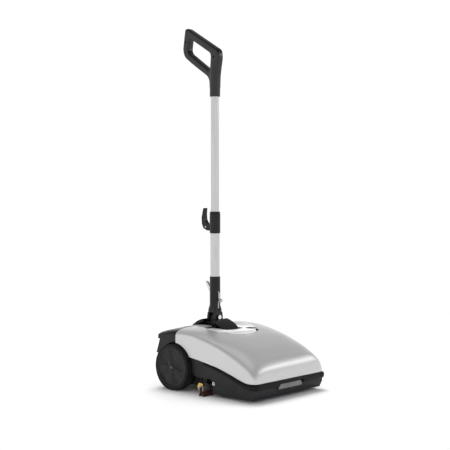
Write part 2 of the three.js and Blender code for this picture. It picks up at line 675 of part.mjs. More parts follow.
const pivotBolt = () =>
  join(
    bar("y", [0, ROLL_Z], 4.9, -17.5, 17.5),
    prism("y", circle(0, ROLL_Z, 8, 6), -21.8, -16.9),
    prism("y", circle(0, ROLL_Z, 8, 6), 16.9, 21.8),
  );

// The chrome latch in the socket's front slot, with its thumb knob.
const lockPin = () =>
  join(
    box([-2.6, 2.6], [-18.5, -15.9], [262, 292]),
    bar("y", [0, 268], 3, -24, -17),
    turned("y", [0, 268], [[-30, 0], [-30, 4], [-28.5, 5.5], [-24.5, 5.5], [-23, 4], [-23, 0]], 20),
  );

// The release lever on the socket's back, which springs out at its top.
const socketLever = () =>
  prism("x", rounded([[17.6, 294], [24, 294], [40, 322], [38, 327], [33, 326], [17.6, 306]], 2), -4, 4);

const clampSleeve = () => {
  const body = ring("z", [0, 0], TUBE.lower + GAP, CLAMP.radius, CLAMP.low, CLAMP.high - 6, 24, 1.5);
  const neck = ring("z", [0, 0], TUBE.upper + GAP, CLAMP.radius - 0.6, CLAMP.high - 7, CLAMP.high, 24, 1.5);
  const cheek = rounded([[12, 488], [12, 512], [34, 508], [36, 496], [28, 489]], 3);
  const cheeks = SIDES.map(([, side]) => prism("x", cheek, ...onSide(side, 7.6, 11.5)));
  const bore = bar("z", [0, 0], TUBE.lower + GAP, CLAMP.low - 1, CLAMP.high - 8);
  const pin = bar("x", [CLAMP.leverY, CLAMP.leverZ], 3.3, -20, 20);
  return cut(join(body, neck, ...cheeks), bore, pin);
};

const clampLever = () => {
  const cam = bar("x", [CLAMP.leverY, CLAMP.leverZ], 9.6, -7.2, 7.2);
  const blade = prism("x", rounded([
    [30, 508], [36, 492], [44, 494], [52, 510], [53, 530], [45, 560], [40, 560], [42, 540], [40, 522],
  ], 3), -7.2, 7.2);
  return cut(join(cam, blade), bar("x", [CLAMP.leverY, CLAMP.leverZ], 3.3, -20, 20));
};

const clampPin = () => bar("x", [CLAMP.leverY, CLAMP.leverZ], 3, -13, 13, 16);

const lowerTube = () => ring("z", [0, 0], TUBE.lowerBore, TUBE.lower, 241, CLAMP.high - 7.6, 24, 0.5);
const upperTube = () => ring("z", [0, 0], TUBE.upperBore, TUBE.upper, 402, GRIP.low + 48, 24, 0.5);

// --- Grip ------------------------------------------------------------------------------------------------

const GRIP_OUTER = [
  [-15.5, 912, 2], [15.5, 912, 2], [15.5, 972, 20], [50, 994, 20], [88, 1018, 20], [127, 1046, 14],
  [134, 1070, 10], [124, 1135, 9], [112, 1138, 9], [-24, 1058, 14], [-27, 1036, 12], [-16.5, 978, 20],
];
const GRIP_OPENING = [[13, 996, 6], [109, 1061, 14], [103, 1104, 9], [9, 1048, 12]];
const GRIP_SCREWS = [[-5, 1036], [46, 1085], [118, 1094]]; // on the right-hand shell
// Each section of the neck: its height, its half width and how far it leans back.
const GRIP_NECK = [[GRIP.low, 15.6, 0], [GRIP.low + 60, 15.8, -0.8], [GRIP.low + 118, 12.5, -6]];

function gripShell(side) {
  const loop = prism("x", rounded(GRIP_OUTER, 8), -GRIP.half, GRIP.half, [rounded(GRIP_OPENING, 8)]);
  const neck = stacked(
    GRIP_NECK.map(([z, half, lean]) => {
      const [front, rear] = [lean - 15.6, lean + 15.6];
      const outline = rounded([[-half, front], [half, front], [half, rear], [-half, rear]], 11, 4);
      return outline.map(([x, y]) => [x, y, z]);
    }),
  );
  const bore = bar("z", [0, 0], TUBE.upper + GAP, GRIP.low - 1, GRIP.low + 49);
  const half = box(onSide(side, 0.15, 60), [-100, 200], [900, 1150]);
  const screws = GRIP_SCREWS.map(([y, z]) => bar("x", [y, z], 3.4, -30, -GRIP.half + 4, 16));
  return cut(join(loop, neck).intersect(half), bore, ...(side < 0 ? screws : []));
}

function gripScrew([y, z]) {
  const [head, neck, end] = [-GRIP.half + 0.4, -GRIP.half + 1.4, -GRIP.half + 3.4];
  return turned("x", [y, z], [[head, 0], [head, 1.4], [neck, 1.4], [neck, 3], [end, 3], [end, 0]], 16);
}

// --- The machine -----------------------------------------------------------------------------------------

const machine = new THREE.Group();
machine.add(
  piece("base_shell", baseShell(), BLACK),
  piece("bumper_strip", bumperStrip(), RUBBER),
  piece("front_window", frontWindow(), GREY),
  piece("hood", hoodShell(), SILVER),
  piece("hood_bezel", bezel(), BRIGHT),
  piece("finger_cup", fingerCup(), BLACK),
  piece("rear_spine", rearSpine(), SILVER),
  piece("rear_panel", rearPanel(), BLACK),
  piece("power_rocker", powerRocker(), RUBBER),
  piece("charging_inlet", chargingInlet(), RUBBER),
  piece("battery_pack", batteryPack(), GREY),
  piece("solution_tank", solutionTank(), TANK),
  piece("recovery_tank", recoveryTank(), TANK),
  piece("filler_cap", fillerCap(-1), BLUE),
  piece("vacuum_motor", vacuumMotor(), GREY),
  piece("suction_hose", suctionHose(), GREY),
  piece("brush_motor", brushMotor(), STEEL),
  piece("motor_pulley", motorPulley(), STEEL),
  piece("drive_belt", driveBelt(), RUBBER),
  piece("brush_pulley", brushPulley(), STEEL),
  piece("brush_core", brushCore(), GREY),
  piece("brush_bristles", brushBristles(), BLUE),
  piece("squeegee_channel", squeegeeChannel(), STEEL),
  piece("front_blade", blade(-1), BROWN),
  piece("rear_blade", blade(1), BROWN),
  piece("wheel_axle", wheelAxle(), STEEL),
  piece("saddle", saddle(), BLACK),
  piece("tilt_axle", tiltAxle(), STEEL),
  piece("handle_socket", handleSocket(), BLACK),
  piece("pivot_bolt", pivotBolt(), CHROME),
  piece("lock_pin", lockPin(), CHROME),
  piece("socket_lever", socketLever(), CHROME),
  piece("lower_tube", lowerTube(), ALLOY),
  piece("upper_tube", upperTube(), ALLOY),
  piece("clamp_sleeve", clampSleeve(), BLACK),
  piece("clamp_lever", clampLever(), BLACK),
  piece("clamp_pin", clampPin(), STEEL),
);
for (const [name, side] of SIDES) {
  machine.add(
    piece("rear_cover_" + name, rearCover(side), BLACK),
    piece("brush_bearing_" + name, brushBearing(side), STEEL),
    piece("squeegee_arm_" + name, squeegeeArm(side), STEEL),
    piece("squeegee_knob_" + name, squeegeeKnob(side), BRASS),
    piece("stop_bolt_" + name, stopBolt(side), STEEL),
    piece("tyre_" + name, tyre(side), RUBBER),
    piece("wheel_hub_" + name, wheelHub(side), BLACK),
    piece("tilt_bracket_" + name, tiltBracket(side), STEEL),
    piece("grip_" + name, gripShell(side), BLACK),
  );
}
GRIP_SCREWS.forEach((at, i) => machine.add(piece("grip_screw_" + (i + 1), gripScrew(at), RUBBER)));

const footprint = new THREE.Box3().setFromObject(machine);
machine.position.y = -(footprint.min.y + footprint.max.y) / 2;

export default machine;
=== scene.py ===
"""Looks of the upright battery floor scrubber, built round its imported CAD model.

Pieces are laid out in millimetres about the upright handle's axis (x = 0, y = 0), with the floor at z = 0 and
the front towards -y, as the CAD model is, and are then brought into the row frame in metres.
"""

import json
import math

import bmesh
import bpy
from mathutils import Matrix, Vector


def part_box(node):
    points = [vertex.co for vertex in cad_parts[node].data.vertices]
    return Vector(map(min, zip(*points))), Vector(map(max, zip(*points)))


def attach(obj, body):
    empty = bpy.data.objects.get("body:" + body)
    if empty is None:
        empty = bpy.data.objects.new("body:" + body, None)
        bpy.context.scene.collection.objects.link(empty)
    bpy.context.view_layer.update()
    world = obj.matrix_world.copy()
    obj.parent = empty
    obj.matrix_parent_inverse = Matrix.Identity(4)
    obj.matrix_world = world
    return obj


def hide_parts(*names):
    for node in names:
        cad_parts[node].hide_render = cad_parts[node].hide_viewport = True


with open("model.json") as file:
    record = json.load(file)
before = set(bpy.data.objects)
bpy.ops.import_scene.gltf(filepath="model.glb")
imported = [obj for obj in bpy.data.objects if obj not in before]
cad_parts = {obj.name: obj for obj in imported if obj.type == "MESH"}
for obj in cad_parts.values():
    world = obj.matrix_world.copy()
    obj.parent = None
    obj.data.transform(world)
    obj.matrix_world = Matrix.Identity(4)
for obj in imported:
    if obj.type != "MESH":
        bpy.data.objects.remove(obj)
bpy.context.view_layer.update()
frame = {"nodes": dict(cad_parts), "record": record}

MM = 0.001
tube_low, tube_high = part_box("lower_tube")
AXIS_Y = (tube_low.y + tube_high.y) / 2
TO_FRAME = Matrix.Translation((0, AXIS_Y, 0)) @ Matrix.Scale(MM, 4)
SIDES = (("right", -1), ("left", 1))
# The start, end and steps of an arc that makes a closed ring of 144 points.
FULL_TURN = (0, 357.5, 143)


# --- Camera, light and floor --------------------------------------------------------------------------------

CAMERA_AT = (-2.376, AXIS_Y - 2.27, 0.62)
CAMERA_AIM = (0.7293, 0.6834, -0.0346)
LENS, SENSOR = 82.8, 36
FLOOR_R = 2.3
# Each light's name, place, target, size, power and whether glossy surfaces mirror it.
LIGHTS = (
    ("brow_light", (2.5, -1.5, 1.75), (0, 0, 0.1), (2.2, 0.5), 9, True),
    ("top_light", (0.8, 0.9, 3.4), (0, 0, 0.1), (1.8, 1.8), 80, False),
    ("sky_light", (0, 0, 4.2), (0, 0, 0), (9, 9), 110, False),
    ("side_fill", (-3.1, 0.6, 0.9), (0, 0, 0.15), (2.4, 1.2), 14, False),
)
# The surround's brightness by the sine of the height above the horizon.
SKY_STOPS = ((0.0, 1.0), (0.24, 1.0), (0.42, 0.42), (0.75, 0.16), (1.0, 0.5))
SKY_STRENGTH = 1.05


def add_camera():
    data = bpy.data.cameras.new("camera")
    data.lens = LENS
    data.sensor_width = SENSOR
    camera = bpy.data.objects.new("camera", data)
    camera.location = CAMERA_AT
    camera.rotation_euler = Vector(CAMERA_AIM).to_track_quat("-Z", "Y").to_euler()
    bpy.context.scene.collection.objects.link(camera)
    bpy.context.scene.camera = camera


def add_area(name, location, target, size, power, mirrored):
    data = bpy.data.lights.new(name, "AREA")
    data.shape = "RECTANGLE"
    data.size, data.size_y = size
    data.energy = power
    light = bpy.data.objects.new(name, data)
    light.location = location
    light.visible_glossy = mirrored
    light.rotation_euler = (Vector(target) - Vector(location)).to_track_quat("-Z", "Y").to_euler()
    bpy.context.scene.collection.objects.link(light)


def add_world():
    """A surround that is white round the horizon and darker above it, so that the light has a direction."""
    world = bpy.data.worlds.new("studio")
    world.use_nodes = True
    nodes, links = world.node_tree.nodes, world.node_tree.links
    split = nodes.new("ShaderNodeSeparateXYZ")
    links.new(nodes.new("ShaderNodeTexCoord").outputs["Generated"], split.inputs["Vector"])
    ramp = nodes.new("ShaderNodeValToRGB")
    links.new(split.outputs["Z"], ramp.inputs["Fac"])
    elements = ramp.color_ramp.elements
    while len(elements) < len(SKY_STOPS):
        elements.new(0.5)
    for element, (place, value) in zip(elements, SKY_STOPS):
        element.position = place
        element.color = (value, value, value, 1)
    background = nodes["Background"]
    links.new(ramp.outputs["Color"], background.inputs["Color"])
    background.inputs["Strength"].default_value = SKY_STRENGTH
    bpy.context.scene.world = world


# --- Materials ----------------------------------------------------------------------------------------------


class Look:
    """A Principled material whose colour, roughness and relief come from procedural nodes."""

    def __init__(self, name, metallic=0.0, roughness=0.5, **sockets):
        self.material = bpy.data.materials.new(name)
        self.material.use_nodes = True
        self.nodes = self.material.node_tree.nodes
        self.links = self.material.node_tree.links
        self.shader = self.nodes["Principled BSDF"]
        self.shader.inputs["Metallic"].default_value = metallic
        self.shader.inputs["Roughness"].default_value = roughness
        for socket, value in sockets.items():
            self.shader.inputs[socket.replace("_", " ")].default_value = value
        self.place = self.nodes.new("ShaderNodeTexCoord").outputs["Object"]

    def stretched(self, scale):
        mapping = self.nodes.new("ShaderNodeMapping")
        mapping.inputs["Scale"].default_value = scale
        self.links.new(self.place, mapping.inputs["Vector"])
        return mapping.outputs["Vector"]

    def noise(self, scale, detail=3.0, stretch=None):
        node = self.nodes.new("ShaderNodeTexNoise")
        node.inputs["Scale"].default_value = scale
        node.inputs["Detail"].default_value = detail
        self.links.new(self.stretched(stretch) if stretch else self.place, node.inputs["Vector"])
        return node.outputs["Fac"]

    def cells(self, scale):
        node = self.nodes.new("ShaderNodeTexVoronoi")
        node.inputs["Scale"].default_value = scale
        self.links.new(self.place, node.inputs["Vector"])
        return node.outputs["Distance"]

    def colours(self, factor, dark, light, low=0.35, high=0.65):
        ramp = self.nodes.new("ShaderNodeValToRGB")
        ramp.color_ramp.elements[0].position = low
        ramp.color_ramp.elements[1].position = high
        ramp.color_ramp.elements[0].color = (*dark, 1)
        ramp.color_ramp.elements[1].color = (*light, 1)
        self.links.new(factor, ramp.inputs["Fac"])
        self.links.new(ramp.outputs["Color"], self.shader.inputs["Base Color"])
        return self

    def gloss(self, factor, low, high):
        spread = self.nodes.new("ShaderNodeMapRange")
        spread.inputs["To Min"].default_value = low
        spread.inputs["To Max"].default_value = high
        self.links.new(factor, spread.inputs["Value"])
        self.links.new(spread.outputs["Result"], self.shader.inputs["Roughness"])
        return self

    def relief(self, height, strength, depth):
        bump = self.nodes.new("ShaderNodeBump")
        bump.inputs["Strength"].default_value = strength
        bump.inputs["Distance"].default_value = depth * MM
        self.links.new(height, bump.inputs["Height"])
        self.links.new(bump.outputs["Normal"], self.shader.inputs["Normal"])
        return self


COOL, ICY = (1, 1, 1.04), (0.96, 1, 1.02)


def grey(value, tint=(1, 1, 1)):
    return tuple(value * t for t in tint)


def make_looks():
    """The machine's materials by name; scales are per metre and relief depths in millimetres."""
    looks = {}

    silver = Look("silver_paint", metallic=0.55, roughness=0.3, Coat_Weight=0.2, Coat_Roughness=0.12)
    silver.colours(silver.cells(2600), grey(0.56), grey(0.62), 0.1, 0.9)
    silver.gloss(silver.noise(9), 0.27, 0.34).relief(silver.cells(1900), 0.035, 0.05)
    looks["silver"] = silver

    bright = Look("bright_trim", metallic=0.3, roughness=0.2)
    bright.colours(bright.noise(60), grey(0.92), grey(0.97))
    bright.gloss(bright.noise(900, 2, (1, 14, 1)), 0.16, 0.28).relief(bright.noise(500), 0.03, 0.05)
    looks["bright_trim"] = bright

    plastic = Look("black_plastic", roughness=0.36, Specular_IOR_Level=0.3)
    plastic.colours(plastic.noise(28), grey(0.004, COOL), grey(0.008, COOL))
    plastic.gloss(plastic.noise(70), 0.20, 0.32).relief(plastic.cells(950), 0.08, 0.10)
    looks["black_plastic"] = plastic

    shell = Look("base_plastic", roughness=0.5, Specular_IOR_Level=0.25)
    shell.colours(shell.noise(28), grey(0.009, COOL), grey(0.016, COOL))
    shell.gloss(shell.noise(70), 0.42, 0.56).relief(shell.cells(950), 0.14, 0.12)
    looks["base_plastic"] = shell

    grip = Look("grip_plastic", roughness=0.24, Specular_IOR_Level=0.5)
    grip.colours(grip.noise(40), grey(0.002), grey(0.004))
    grip.gloss(grip.noise(70), 0.18, 0.30).relief(grip.noise(600), 0.04, 0.08)
    looks["grip_plastic"] = grip

    satin = Look("black_satin", roughness=0.5, Specular_IOR_Level=0.25)
    satin.colours(satin.noise(40), grey(0.005), grey(0.009))
    satin.gloss(satin.noise(90), 0.42, 0.58).relief(satin.noise(700), 0.05, 0.06)
    looks["black_satin"] = satin

    rubber = Look("black_rubber", roughness=0.6, Specular_IOR_Level=0.2)
    rubber.colours(rubber.noise(55), grey(0.002), grey(0.004))
    rubber.gloss(rubber.noise(120), 0.45, 0.65).relief(rubber.noise(1100, 4), 0.2, 0.08)
    looks["black_rubber"] = rubber

    tyre = Look("tyre_rubber", roughness=0.75, Specular_IOR_Level=0.3)
    tyre.colours(tyre.noise(45), grey(0.004), grey(0.008))
    tyre.gloss(tyre.noise(90), 0.6, 0.85).relief(tyre.noise(900, 5), 0.25, 0.1)
    looks["tyre"] = tyre

    hub = Look("hub_plastic", roughness=0.5, Specular_IOR_Level=0.3)
    hub.colours(hub.noise(35), grey(0.004), grey(0.009))
    hub.gloss(hub.noise(80), 0.4, 0.6).relief(hub.cells(800), 0.2, 0.12)
    looks["hub"] = hub

    smoke = Look("smoke_window", roughness=0.18, Coat_Weight=0.5, Coat_Roughness=0.05)
    smoke.colours(smoke.noise(18, 1), grey(0.08), grey(0.14), 0.3, 0.7)
    smoke.gloss(smoke.noise(60), 0.14, 0.24).relief(smoke.noise(400), 0.02, 0.05)
    looks["smoke_plastic"] = smoke

    alloy = Look("anodised_tube", metallic=0.85, roughness=0.3)
    alloy.colours(alloy.noise(1, 2, (300, 300, 9)), grey(0.53), grey(0.60))
    alloy.gloss(alloy.noise(1, 2, (400, 400, 14)), 0.28, 0.38)
    alloy.relief(alloy.noise(1, 2, (600, 600, 12)), 0.02, 0.05)
    looks["aluminium"] = alloy

    dull = Look("dull_steel", metallic=0.9, roughness=0.5)
    dull.colours(dull.noise(200), grey(0.06), grey(0.11))
    dull.gloss(dull.noise(500), 0.4, 0.6).relief(dull.noise(800), 0.1, 0.05)
    looks["dull_steel"] = dull

    steel = Look("brushed_steel", metallic=0.95, roughness=0.32)
    steel.colours(steel.noise(1, 3, (12, 900, 900)), grey(0.50), grey(0.64))
    steel.gloss(steel.noise(1, 2, (14, 1500, 1500)), 0.26, 0.42)
    steel.relief(steel.noise(1, 3, (12, 1800, 1800)), 0.06, 0.05)
    looks["steel"] = steel

    chrome = Look("polished_chrome", metallic=1.0, roughness=0.1)
    chrome.colours(chrome.noise(120), grey(0.66), grey(0.76))
    chrome.gloss(chrome.noise(300), 0.06, 0.16).relief(chrome.noise(900), 0.02, 0.03)
    looks["chrome"] = chrome

    brass = Look("polished_brass", metallic=1.0, roughness=0.2)
    brass.colours(brass.noise(160), (0.60, 0.40, 0.10), (0.80, 0.58, 0.20))
    brass.gloss(brass.noise(400), 0.14, 0.3).relief(brass.noise(1, 3, (900, 1500, 1500)), 0.08, 0.05)
    looks["brass"] = brass

    nylon = Look("blue_nylon", roughness=0.55)
    nylon.colours(nylon.noise(220), (0.012, 0.030, 0.34), (0.03, 0.07, 0.62))
    nylon.gloss(nylon.noise(300), 0.4, 0.65).relief(nylon.noise(1, 2, (2400, 2400, 2400)), 0.3, 0.08)
    looks["bristle_blue"] = nylon

    blade = Look("blade_rubber", roughness=0.55)
    blade.colours(blade.noise(60), (0.040, 0.014, 0.010), (0.065, 0.022, 0.014))
    blade.gloss(blade.noise(90), 0.45, 0.65).relief(blade.noise(800, 4), 0.12, 0.06)
    looks["blade_rubber"] = blade

    tank = Look("tank_plastic", roughness=0.4, Subsurface_Weight=0.15)
    tank.colours(tank.noise(20), grey(0.52, ICY), grey(0.62, ICY))
    tank.gloss(tank.noise(60), 0.32, 0.5).relief(tank.cells(600), 0.1, 0.1)
    looks["tank_plastic"] = tank
    return looks


looks = make_looks()


# --- Mesh helpers -------------------------------------------------------------------------------------------

# Turns a shape's own axes (across, up, depth) into (Y, Z, X), (X, Z, Y) or (X, Y, Z).
ALONG = {
    "x": lambda a, b, c: (c, a, b),
    "y": lambda a, b, c: (a, c, b),
    "z": lambda a, b, c: (a, b, c),
}


def rounded(points, radius, steps=8):
    """An outline with its corners rounded by curves; a point may carry its own radius as a third number."""
    out = []
    for i, (a, b, *own) in enumerate(points):
        corner = Vector((a, b))
        before, after = (Vector(points[j % len(points)][:2]) for j in (i - 1, i + 1))
        wanted = own[0] if own else radius
        reach = min(wanted, (corner - before).length / 2.05, (corner - after).length / 2.05)
        if reach <= 0:
            out.append((a, b))
            continue
        start = corner + (before - corner).normalized() * reach
        end = corner + (after - corner).normalized() * reach
        for k in range(steps + 1):
            t = k / steps
            p = start * (1 - t) ** 2 + corner * 2 * t * (1 - t) + end * t * t
            out.append((p.x, p.y))
    return out


def arc(a, b, radius, start, end, steps):
    """Points round a centre, with the start and end in degrees."""
    turns = (math.radians(start + (end - start) * i / steps) for i in range(steps + 1))
    return [(a + radius * math.cos(t), b + radius * math.sin(t)) for t in turns]


def bulged(value):
    """A sine or cosine drawn out, so that a ring of them is a little squarer than a circle."""
    return math.copysign(abs(value) ** 0.8, value)


def facing_out(bm):
    bmesh.ops.recalc_face_normals(bm, faces=bm.faces)
    if bm.calc_volume(signed=True) < 0:
        bmesh.ops.reverse_faces(bm, faces=bm.faces)
    return bm


def prism(axis, outline, low, high, holes=()):
    """A closed bmesh prism of an outline, with holes through it."""
    bm = bmesh.new()
    edges = []
    for loop in (outline, *holes):
        verts = [bm.verts.new((a, b, low)) for a, b in loop]
        edges += [bm.edges.new((verts[i - 1], verts[i])) for i in range(len(verts))]
    if holes:
        bmesh.ops.triangle_fill(bm, use_beauty=True, edges=edges)
        bmesh.ops.dissolve_limit(bm, angle_limit=0.01, verts=bm.verts, edges=bm.edges)
    else:
        bm.faces.new(list(bm.verts))
    lifted = bmesh.ops.extrude_face_region(bm, geom=list(bm.faces))["geom"]
    lid = [g for g in lifted if isinstance(g, bmesh.types.BMVert)]
    bmesh.ops.translate(bm, vec=(0, 0, high - low), verts=lid)
    for v in bm.verts:
        v.co = ALONG[axis](*v.co)
    return facing_out(bm)


def turned(axis, at, profile, steps=96, shape=None):
    """A closed turned bmesh: the profile's points are (place along the axis, radius).

    The optional shape(place, radius, turn) gives each point's shift along the axis.
    """
    bm = bmesh.new()
    rings = []
    for place, radius in profile:
        if radius < 1e-6:
            rings.append([bm.verts.new((at[0], at[1], place))])
            continue
        ring = []
        for i in range(steps):
            turn = 2 * math.pi * i / steps
            shift = shape(place, radius, turn) if shape else 0
            across, up = at[0] + radius * math.cos(turn), at[1] + radius * math.sin(turn)
            ring.append(bm.verts.new((across, up, place + shift)))
        rings.append(ring)
    closed = len(rings[0]) > 1
    for k in range(len(rings) if closed else len(rings) - 1):
        a, b = rings[k], rings[(k + 1) % len(rings)]
        for i in range(steps):
            j = (i + 1) % steps
            corners = [a[i % len(a)], a[j % len(a)], b[j % len(b)], b[i % len(b)]]
            face = list(dict.fromkeys(corners))
            if len(face) > 2:
                bm.faces.new(face)
    for v in bm.verts:
        v.co = ALONG[axis](*v.co)
    return facing_out(bm)


def capped(rows):
    """A closed bmesh through rings of points, each with the same count, with a face over either end."""
    bm = bmesh.new()
    rings = [[bm.verts.new(p) for p in row] for row in rows]
    count = len(rows[0])
    for a, b in zip(rings, rings[1:]):
        for i in range(count):
            j = (i + 1) % count
            bm.faces.new((a[i], a[j], b[j], b[i]))
    bm.faces.new(rings[0])
    bm.faces.new(rings[-1])
    return facing_out(bm)


def scratch(bm, name="scratch"):
    mesh = bpy.data.meshes.new(name)
    bm.to_mesh(mesh)
    bm.free()
    obj = bpy.data.objects.new(name, mesh)
    bpy.context.scene.collection.objects.link(obj)
    return obj


def bm_of(obj):
    """A scratch object turned back into a bmesh."""
    bm = bmesh.new()
    bm.from_mesh(obj.data)
    bpy.data.objects.remove(obj)
    return bm


def applied(obj):
    """The object's modifiers made part of its mesh."""
    graph = bpy.context.evaluated_depsgraph_get()
    mesh = bpy.data.meshes.new_from_object(obj.evaluated_get(graph))
    obj.modifiers.clear()
    old, obj.data = obj.data, mesh
    bpy.data.meshes.remove(old)
    return obj


def boolean(body, operation, *tools):
    """Cuts, joins or crosses a scratch object with closed bmeshes."""
    for tool in tools:
        other = scratch(tool, "tool")
        change = body.modifiers.new("cut", "BOOLEAN")
        change.operation = operation
        change.solver = "EXACT"
        change.object = other
        applied(body)
        bpy.data.objects.remove(other)
    return body


def piece(name, obj, body, look, replaced, bevel=0.0, segments=3, angle=38.0):
    """Names a scratch object, brings it into the row frame, gives it its look and body, and hides the CAD
    nodes it replaces.
    """
    obj.name = obj.data.name = name
    mesh = obj.data
    mesh.transform(TO_FRAME)
    mesh.materials.clear()
    mesh.materials.append(looks[look].material)
    if bevel:
        edge = obj.modifiers.new("edge", "BEVEL")
        edge.width = bevel * MM
        edge.segments = segments
        edge.limit_method = "ANGLE"
        edge.angle_limit = math.radians(angle)
        edge.harden_normals = True
        edge.use_clamp_overlap = True
    mesh.shade_smooth()
    mesh.set_sharp_from_angle(angle=math.radians(angle))
    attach(obj, body)
    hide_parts(*replaced)


NODE_BODY = {n: b for b, ns in frame["record"]["behaviour"]["bodies"].items() for n in ns}
NODE_SLOT = {s["node"]: s["material_slot"] for s in frame["record"]["subparts"]}


def refined(node, name, bevel, segments, look):
    """A new piece in a CAD node's form, with its flat faces joined up and its edges rounded."""
    mesh = frame["nodes"][node].data.copy()
    bm = bmesh.new()
    bm.from_mesh(mesh)
    bmesh.ops.remove_doubles(bm, verts=bm.verts, dist=2e-6)
    bmesh.ops.dissolve_limit(bm, angle_limit=math.radians(0.4), verts=bm.verts, edges=bm.edges)
    bmesh.ops.transform(bm, matrix=TO_FRAME.inverted(), verts=bm.verts)
    bpy.data.meshes.remove(mesh)
    slot = NODE_SLOT[node]
    piece(name, scratch(bm), NODE_BODY[node], look or slot, [node], bevel, segments)


# --- Hood ---------------------------------------------------------------------------------------------------

HOOD_FRONT, HOOD_HALF, HOOD_CORNER, HOOD_REAR = -314.2, 163, 20, 113
HOOD_LOW, HOOD_FOOT, SEAM_Y, TONGUE, NOTCH, SKIN = 57.3, 20, 13, 70, 37, 3
# The rear wall leans forwards from its foot to its head, as (y, z).
WALL_FOOT, WALL_HEAD = (113, 107), (94.5, 200)
# Lines along the hood as (y, z): its top, where its sides start to curve in, and its lower edge.
HOOD_TOP = [
    (-314.2, 32), (-314.0, 46), (-313.8, 56), (-313.4, 67), (-311, 80), (-306, 93), (-298, 105), (-286, 117),
    (-268, 128), (-243, 141), (-212, 153), (-172, 166), (-140, 174), (-108, 181), (-70, 187), (-26, 190.5),
    (25, 190), (59, 185.5), (113, 172),
]
HOOD_WALL = [
    (-313.5, 46), (-297, 55), (-258, 75), (-218, 98), (-178, 119), (-137, 135), (-95, 149), (-53, 160),
    (13, 156), (113, 148),
]
HOOD_EDGE = [
    (-320, HOOD_LOW), (-279, 58), (-254, 64), (-223, 74), (-192, 83), (-161, 91), (-130, 96.5), (-92, 103),
    (-40, 110),
]
WHEEL_Y, WHEEL_Z, ARCH_R, ARCH_IN = 21, 71.3, 76.3, 134
BEZEL_Y, BEZEL_ACROSS, BEZEL_ALONG, BEZEL_INNER, BEZEL_SEAT, BEZEL_TOP = -60, 93, 84, 96, 181, 184
BEZEL_HALF, BEZEL_REAR = 38, -21
RECESS_AT = (52, -112)
SLOT_FRONT_R = 95
# How far the cutting shapes reach past the hood: sideways, backwards and upwards.
PAST_SIDE, PAST_REAR, PAST_TOP = 220, 200, 260


def smooth_line(points, per_span):
    """A smooth curve through points, as a centripetal spline, with some steps in each span."""
    out = []
    for i in range(len(points) - 1):
        p1, p2 = Vector(points[i]), Vector(points[i + 1])
        p0 = Vector(points[i - 1]) if i else p1 * 2 - p2
        p3 = Vector(points[i + 2]) if i + 2 < len(points) else p2 * 2 - p1
        t1 = math.sqrt((p1 - p0).length)
        t2 = t1 + math.sqrt((p2 - p1).length)
        t3 = t2 + math.sqrt((p3 - p2).length)
        steps = max(2, round(per_span * (p2 - p1).length / 20))
        for k in range(steps):
            t = t1 + (t2 - t1) * k / steps
            a1 = p0 * ((t1 - t) / t1) + p1 * (t / t1)
            a2 = p1 * ((t2 - t) / (t2 - t1)) + p2 * ((t - t1) / (t2 - t1))
            a3 = p2 * ((t3 - t) / (t3 - t2)) + p3 * ((t - t2) / (t3 - t2))
            b1 = a1 * ((t2 - t) / t2) + a2 * (t / t2)
            b2 = a2 * ((t3 - t) / (t3 - t1)) + a3 * ((t - t1) / (t3 - t1))
            out.append(tuple(b1 * ((t2 - t) / (t2 - t1)) + b2 * ((t - t1) / (t2 - t1))))
    return out + [tuple(points[-1])]


def height_at(line, place):
    """A line's height at a place along it, held level before its first point and past its last."""
    for (a, h), (b, k) in zip(line, line[1:]):
        if place <= b:
            return h + (k - h) * max(0.0, place - a) / (b - a)
    return line[-1][1]


TOP_LINE = smooth_line(HOOD_TOP, 6)
WALL_LINE = smooth_line(HOOD_WALL, 5)
DOME_STEPS, DOME_RISE, DOME_ACROSS = 26, 2 / 4.5, 2 / 5


def hood_rows(inset):
    """Cross-sections of the hood's form, each from the right side's foot over the top to the left side's."""
    rows = []
    front = HOOD_FRONT + inset
    for y0, top in TOP_LINE:
        y = y0 + inset
        if y > HOOD_REAR:
            break
        past = min(max(y - front, 0.0), HOOD_CORNER)
        half = HOOD_HALF - inset - HOOD_CORNER + math.sqrt(HOOD_CORNER**2 - (HOOD_CORNER - past) ** 2)
        top -= inset
        wall = min(height_at(WALL_LINE, y), top - 2)
        right = []
        for k in range(DOME_STEPS + 1):
            turn = math.pi / 2 * k / DOME_STEPS
            rise, across = math.sin(turn) ** DOME_RISE, max(0.0, math.cos(turn)) ** DOME_ACROSS
            right.append((half * across, y, wall + (top - wall) * rise))
        feet = [(half, y, wall - (wall - HOOD_FOOT) * (1 - t)) for t in (0.0, 0.34, 0.67)]
        side = feet + right
        rows.append([(-x, y, z) for x, y, z in side] + side[-2::-1])
    return rows


def hood_solid(inset):
    """The hood's full form as a closed bmesh, cut off at the rear wall by the last section."""
    return capped(hood_rows(inset))


def bezel_oval(grow, start, end, steps):
    """A stretch of the bezel's outer edge, an ellipse in plan, grown by an amount."""
    across, along = BEZEL_ACROSS + grow, BEZEL_ALONG + grow
    turns = [math.radians(start + (end - start) * i / steps) for i in range(steps + 1)]
    return [(across * math.cos(t), along * math.sin(t) + BEZEL_Y) for t in turns]


def bezel_outline(grow, inward):
    """The bezel's horseshoe plan, with its outer edge grown and the sides of its notch moved inwards."""
    side, radius = BEZEL_HALF - inward, BEZEL_INNER - inward
    lean = math.degrees(math.asin(side / radius))
    front = arc(0, 0, radius, 270 + lean, 270 - lean, 24)
    back = BEZEL_REAR + grow
    return [*bezel_oval(grow, 152, 388, 96), (side, back), *front, (-side, back)]


def hood_shell():
    """The hood's whole skin, before anything is cut from it."""
    shell = scratch(hood_solid(0))
    return boolean(shell, "DIFFERENCE", hood_solid(SKIN))


